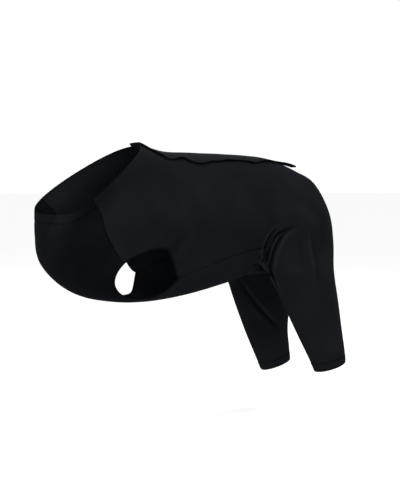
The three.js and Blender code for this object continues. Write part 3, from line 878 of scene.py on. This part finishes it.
def sleeve_end(side):
    """Station where a sleeve's cloth ends, a little under the cuff."""
    return CUFF_STATION[side] + SEAM_OVERLAP / HEM_STEP[side]


def panel_stations(cells, end):
    """Stations along a panel, from the neck edge to its end."""
    marks = (0, ARMHOLE_FRONT, ARMHOLE_BACK, LOIN, CROTCH)
    steps = [number for pair in zip(marks, cells) for number in pair]
    return with_rims(spaced(*steps, end), PANEL_RIM)


def build_side_panel(side):
    name = "side_panel_" + SIDE_NAMES[side]
    shares = with_rims(spaced(0, SIDE_ACROSS[0], BACK_SHARE, SIDE_ACROSS[1], 1), SIDE_RIM)
    points = lattice(lambda station, share: side_surface(side, station, share),
                     panel_stations(SIDE_CELLS, sleeve_end(side)), shares)
    piece = cloth_wall(name + "_cloth", points, side, SIDE_CLOTH, JERSEY_WALL)
    ride(piece, [name])


def build_inner_leg(side):
    name = "inner_leg_" + SIDE_NAMES[side]
    stations = np.linspace(CROTCH + INNER_LEG_GAP, sleeve_end(side), INNER_LEG_POINTS[0])
    shares = np.linspace(0, 1, INNER_LEG_POINTS[1])
    points = lattice(lambda station, share: to_side(leg_point(side, station, 1 - share, -1), side),
                     with_rims(stations, INNER_LEG_RIMS[0]), with_rims(shares, INNER_LEG_RIMS[1]))
    piece = cloth_wall(name + "_cloth", points, side, UNDER_CLOTH, JERSEY_WALL)
    ride(piece, [name])


def cuff_surface(side):
    """Surface round a sleeve: turn 0 to 1 is its outer half and 1 to 2 its inner half."""
    def surface(station, turn):
        outer = leg_point(side, station, np.minimum(turn, 1), 1)
        inner = leg_point(side, station, np.clip(2 - turn, 0, 1), -1)
        return to_side(np.where((turn <= 1)[..., None], outer, inner), side)
    return surface


def hem_stitches(side, number, depth, turns):
    """A row of stitches round a cuff, which lies on its cloth."""
    station = CUFF_STATION[side] + depth / HEM_STEP[side]
    ring = lattice(cuff_surface(side), np.array([station, station + 2 * NEAR_STEP]), np.append(turns, 2.0))
    normal = normals_of(ring, side, False)[0]
    row = stitch_row(f"cuff_stitches_{SIDE_NAMES[side]}_{number}", ring[0] + normal * CUFF_LIFT, normal,
                     THREAD)
    return ride(row)


def build_cuff(side):
    name = "leg_cuff_" + SIDE_NAMES[side]
    turns = np.linspace(0, 2, CUFF_POINTS[1], endpoint=False)
    stations = with_rims(np.linspace(CUFF_STATION[side], HEM, CUFF_POINTS[0]), CUFF_RIM)
    points = lattice(cuff_surface(side), stations, turns)
    piece = cloth_wall(name + "_cloth", points, side, SIDE_CLOTH, DOUBLE_WALL, ring=True, lift=CUFF_LIFT)
    ride(piece, [name])
    rows = [hem_stitches(side, number, depth, turns) for number, depth in enumerate(HEM_STITCH_DEPTHS, 1)]


def front_panel_surface(station, place):
    """The underside, with its front edge moved back to just under the neck band."""
    start = band_station(place, NECK_BAND_DEPTH - SEAM_OVERLAP)
    pushed = start + station * (ARMHOLE_FRONT - start) / ARMHOLE_FRONT
    return underside_surface(np.where(station < ARMHOLE_FRONT, pushed, station), place)


def build_underside():
    stations = panel_stations(UNDERSIDE_CELLS, REAR)
    places = with_rims(np.linspace(-1, 1, UNDERSIDE_ACROSS), UNDERSIDE_RIM)
    points = lattice(front_panel_surface, stations, places)
    tone = np.broadcast_to(1 - eased(stations, *DARK_CHEST)[:, None], points.shape[:2])
    piece = cloth_wall("chest_belly_panel_cloth", points, -1, UNDER_CLOTH, JERSEY_WALL, tone=tone)
    ride(piece, ["chest_belly_panel"])


def band_surface(share, place):
    return underside_surface(share * band_station(place, NECK_BAND_DEPTH), place)


def build_neck_band():
    shares = with_rims(np.linspace(0, 1, BAND_POINTS[0]), BAND_RIMS[0])
    places = with_rims(np.linspace(-1, 1, BAND_POINTS[1]), BAND_RIMS[1])
    points = lattice(band_surface, shares, places)
    piece = cloth_wall("neck_band_cloth", points, -1, UNDER_CLOTH, DOUBLE_WALL, lift=BAND_LIFT,
                       tone=np.ones(points.shape[:2]))
    ride(piece, ["neck_band"])


def roll_path(loop, normal):
    """Path of a roll just inside the opening that a closed loop borders."""
    inwards = unit(np.cross(loop_tangents(loop), normal))
    towards = np.sum(inwards * (loop.mean(axis=0) - loop), axis=1, keepdims=True)
    inwards *= np.where(towards < 0, -1, 1)
    return loop + inwards * ROLL_INSET - normal * JERSEY_WALL / 2


def trunk_normal(side, station, turn):
    """Unit normals of one side of the trunk, from points a small step apart."""
    def point(ahead, down):
        return to_side(trunk_point(station + ahead, turn + down), side)
    along = point(NEAR_STEP, 0) - point(-NEAR_STEP, 0)
    across = point(0, NEAR_STEP) - point(0, -NEAR_STEP)
    return unit(np.cross(along, across) * side)


def build_armhole_edge(side):
    way = np.linspace(0, 2, ARMHOLE_POINTS, endpoint=False)
    station = ARMHOLE_MIDDLE - ARMHOLE_HALF * np.cos(way * np.pi)
    turn = np.where(way <= 1, armhole_turn(ARMHOLE_UPPER, np.minimum(way, 1)),
                    armhole_turn(ARMHOLE_LOWER, np.clip(2 - way, 0, 1)))
    loop = to_side(trunk_point(station, turn), side)
    normal = trunk_normal(side, station, turn)
    path = roll_path(loop + normal * relief(loop)[:, None], normal)
    piece = tube("armhole_roll_" + SIDE_NAMES[side], path, normal, ROLL_RADIUS, EDGE_CLOTH)
    ride(piece, ["armhole_edge_" + SIDE_NAMES[side]])


def tail_side_edge(side):
    """One side panel's edge at the tail opening, and its normals, in order round the opening."""
    stations = np.linspace(TAIL_TOP, CROTCH, TAIL_EDGE_POINTS[0], endpoint=False)
    strip = lattice(lambda station, share: side_surface(side, station, share), stations,
                    np.array([0.0, NEAR_STEP]))
    normal = normals_of(strip, side, False)
    order = slice(None, None, -side)
    return strip[order, 0], normal[order, 0]


def build_tail_edge():
    left, left_normal = tail_side_edge(-1)
    right, right_normal = tail_side_edge(1)
    places = np.linspace(-1, 1, TAIL_EDGE_POINTS[1])[1:-1]
    strip = lattice(underside_surface, np.array([REAR - 2 * NEAR_STEP, REAR]), places)
    low_normal = -normals_of(strip, 1, False)[-1]
    loop = np.concatenate([left, strip[-1], right])
    normal = np.concatenate([left_normal, low_normal, right_normal])
    piece = tube("tail_opening_roll", roll_path(loop, normal), normal, ROLL_RADIUS, EDGE_CLOTH)
    ride(piece, ["tail_opening_edge"])


# The flap stands on the tape. Its edges ripple down the sides, in shares of a half turn, and wave up
# from the back, in millimetres: height, rate and start. Both fade out over some stations at its ends.
FLAP_LIFT = 2 * LAYER_GAP + TAPE_WALL
FLAP_END = FLAP_ROWS[-1][0]
FLAP_POINTS = (300, 70)
FLAP_RIMS = (0.006, 0.01)
FLAP_RIPPLES = [(0.0016, 7.3, 0), (0.0008, 15.1, 1)]
FLAP_RIGHT_RIPPLE = 0.6
FLAP_WAVE = (1.6, 5.2, 0.8)
FLAP_FADES = (1.5, 3)

# The flap's bound edge in millimetres: radius, what the rear end adds, and the least step along it. The
# rear end turns dark and thick between two stations: painted shade, standing for the shaded underside and
# edge of the flap's tail.
FLAP_EDGE_RADIUS = 1.2
FLAP_TAIL_EXTRA = 0.8
FLAP_EDGE_STEP = 0.15
FLAP_TAIL_TURN = (6.7, 7.7)


def flap_fade(station):
    return np.clip(np.minimum(station / FLAP_FADES[0], (FLAP_END - station) / FLAP_FADES[1]), 0, 1)


def flap_reach(station):
    """How far the flap reaches down the left and the right, as shares of a half turn."""
    row = value_at(FLAP_ROWS, station)
    ripple = sum(height * np.sin(station * rate + start) for height, rate, start in FLAP_RIPPLES)
    ripple = ripple * flap_fade(station)
    return row[..., 1] + ripple, row[..., 2] + FLAP_RIGHT_RIPPLE * ripple


def flap_height(station, place):
    """Height of the flap's under face above the back: it waves along its free edges."""
    lift = value_at(FLAP_ROWS, station)[..., 3] * BACK_LENGTH
    height, rate, start = FLAP_WAVE
    wave = 0.5 + 0.5 * np.sin(station * rate + start)
    return FLAP_LIFT + lift + height * wave * flap_fade(station) * np.abs(place) ** 3


def border_of(grid):
    """Values of a lattice round its border, in order."""
    return np.concatenate([grid[:, 0], grid[-1, 1:], grid[-2::-1, -1], grid[0, -2:0:-1]])


def flap_binding(stations, lifted, normal):
    """The bound edge of the flap, thicker at its rear end, where the dark edge is partly painted shade."""
    border, up = border_of(lifted), border_of(normal)
    keep = np.linalg.norm(border - np.roll(border, 1, axis=0), axis=1) > FLAP_EDGE_STEP
    radius = FLAP_EDGE_RADIUS + FLAP_TAIL_EXTRA * eased(border_of(stations), *FLAP_TAIL_TURN)
    edge = tube("flap_edge", (border - up * JERSEY_WALL / 2)[keep], up[keep], radius[keep], EDGE_CLOTH)
    return ride(edge)


def build_flap():
    rows = with_rims(np.linspace(0, FLAP_END, FLAP_POINTS[0]), FLAP_RIMS[0])
    columns = with_rims(np.linspace(-1, 1, FLAP_POINTS[1]), FLAP_RIMS[1])
    stations, places = np.meshgrid(rows, columns, indexing="ij")
    points = spine_surface(flap_reach)(stations, places)
    normal = normals_of(points, 1, False)
    height = flap_height(stations, places) + JERSEY_WALL + soft_waves(points, *FLAP_WAVES)
    lifted = points + normal * height[..., None]
    # The tone darkens the flap's tail towards the edge colour: painted shade.
    piece = cloth_wall("back_flap_cloth", lifted, 1, FLAP_CLOTH, JERSEY_WALL, folded=False, dip=FLAP_DIP,
                       tone=eased(stations, *FLAP_TAIL_TURN))
    ride(piece, ["back_flap"])
    edge = flap_binding(stations, lifted, normal)


def tape_reach(station):
    reach = np.full_like(station, TAPE_REACH)
    return reach, reach


def build_tape():
    points = lattice(spine_surface(tape_reach), np.linspace(TAPE_START, TAPE_END, TAPE_POINTS[0]),
                     np.linspace(-1, -TAPE_INNER_SHARE, TAPE_POINTS[1]))
    piece = cloth_wall("closure_tape_cloth", points, 1, TAPE_CLOTH, TAPE_WALL, lift=LAYER_GAP + TAPE_WALL,
                       dip=TAPE_DIP, folded=False)
    ride(piece, ["closure_tape"])


# The camera: picture size, focal length and height of the horizon over the picture's middle in pixels,
# sensor and place in millimetres, azimuth in degrees, and the nearest thing it sees in metres.
IMAGE_SIZE = (400, 489)
SENSOR_WIDTH = 36
CAMERA_PLACE = (-1153, -2251.7, -80)
CAMERA_AZIMUTH = 30
CAMERA_FOCAL_PIXELS = 1250
CAMERA_HORIZON_ABOVE = 59.5
CAMERA_CLIP_START = 0.05

# The floor in millimetres, and how bright the surroundings are below and above the horizon.
FLOOR_Z = -577
FLOOR_HALF_SIZE = 60000
WORLD_BELOW = 0.84
WORLD_ABOVE = 1.02

# Lights: name, place and target in metres, size in metres and power in watts.
LIGHTS = [
    ("key", (-1.6, -2.2, 2.2), (0.1, 0, -0.2), 1.8, 62),
    ("fill", (-2.8, -0.6, 0.5), (0.0, 0, -0.2), 2.0, 26),
    ("rim", (1.9, 0.4, 1.9), (0.2, 0, -0.1), 1.2, 20),
]


def build_camera():
    """A level camera at the photograph's place, with its frame shifted down to the suit."""
    data = bpy.data.cameras.new("camera")
    data.sensor_width = SENSOR_WIDTH
    data.lens = CAMERA_FOCAL_PIXELS * SENSOR_WIDTH / IMAGE_SIZE[1]
    data.shift_y = -CAMERA_HORIZON_ABOVE / IMAGE_SIZE[1]
    data.clip_start = CAMERA_CLIP_START
    camera = bpy.data.objects.new("camera", data)
    camera.location = [v * MM for v in CAMERA_PLACE]
    camera.rotation_euler = (math.radians(90), 0, math.radians(-CAMERA_AZIMUTH))
    bpy.context.scene.collection.objects.link(camera)
    bpy.context.scene.camera = camera


def area_light(name, place, target, size, power):
    """A round soft light that points at its target."""
    data = bpy.data.lights.new(name, "AREA")
    data.shape = "DISK"
    data.size = size
    data.energy = power
    light = bpy.data.objects.new(name, data)
    place, target = np.array(place), np.array(target)
    direction = (place - target) / np.linalg.norm(place - target)
    light.location = place
    light.rotation_euler = (math.acos(direction[2]), 0, math.atan2(direction[0], -direction[1]))
    bpy.context.scene.collection.objects.link(light)


def build_world():
    """White surroundings, a little darker below the horizon."""
    world = bpy.data.worlds.new("world")
    world.use_nodes = True
    tree = world.node_tree
    background = tree.nodes["Background"]
    direction = tree.nodes.new("ShaderNodeTexCoord").outputs["Generated"]
    parts = tree.nodes.new("ShaderNodeSeparateXYZ")
    strength = tree.nodes.new("ShaderNodeMapRange")
    limits = {"From Min": -0.5, "From Max": 0.0, "To Min": WORLD_BELOW, "To Max": WORLD_ABOVE}
    for name, value in limits.items():
        strength.inputs[name].default_value = value
    tree.links.new(direction, parts.inputs[0])
    tree.links.new(parts.outputs["Z"], strength.inputs["Value"])
    tree.links.new(strength.outputs[0], background.inputs["Strength"])
    background.inputs["Color"].default_value = (1, 1, 1, 1)
    bpy.context.scene.world = world


def build_studio():
    """A pale floor that runs to the horizon, soft lights and the surroundings."""
    near = np.array([[-1, -1], [1, -1], [1, 1], [-1, 1]]) * FLOOR_HALF_SIZE
    points = np.column_stack([near, np.full(4, FLOOR_Z)])
    floor = make_object("floor", points, np.array([[0, 1, 2, 3]]), floor_paint("floor", FLOOR_COLOUR))
    floor.visible_diffuse = False
    floor.visible_glossy = False
    for light in LIGHTS:
        area_light(*light)
    build_world()
    bpy.context.scene.view_settings.view_transform = "Standard"


def corners(bounds):
    return [list(corner) for corner in bounds]


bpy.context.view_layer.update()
build_camera()
build_studio()
for side in (-1, 1):
    build_side_panel(side)
    build_inner_leg(side)
    build_cuff(side)
    build_armhole_edge(side)
build_underside()
build_neck_band()
build_tail_edge()
build_flap()
build_tape()
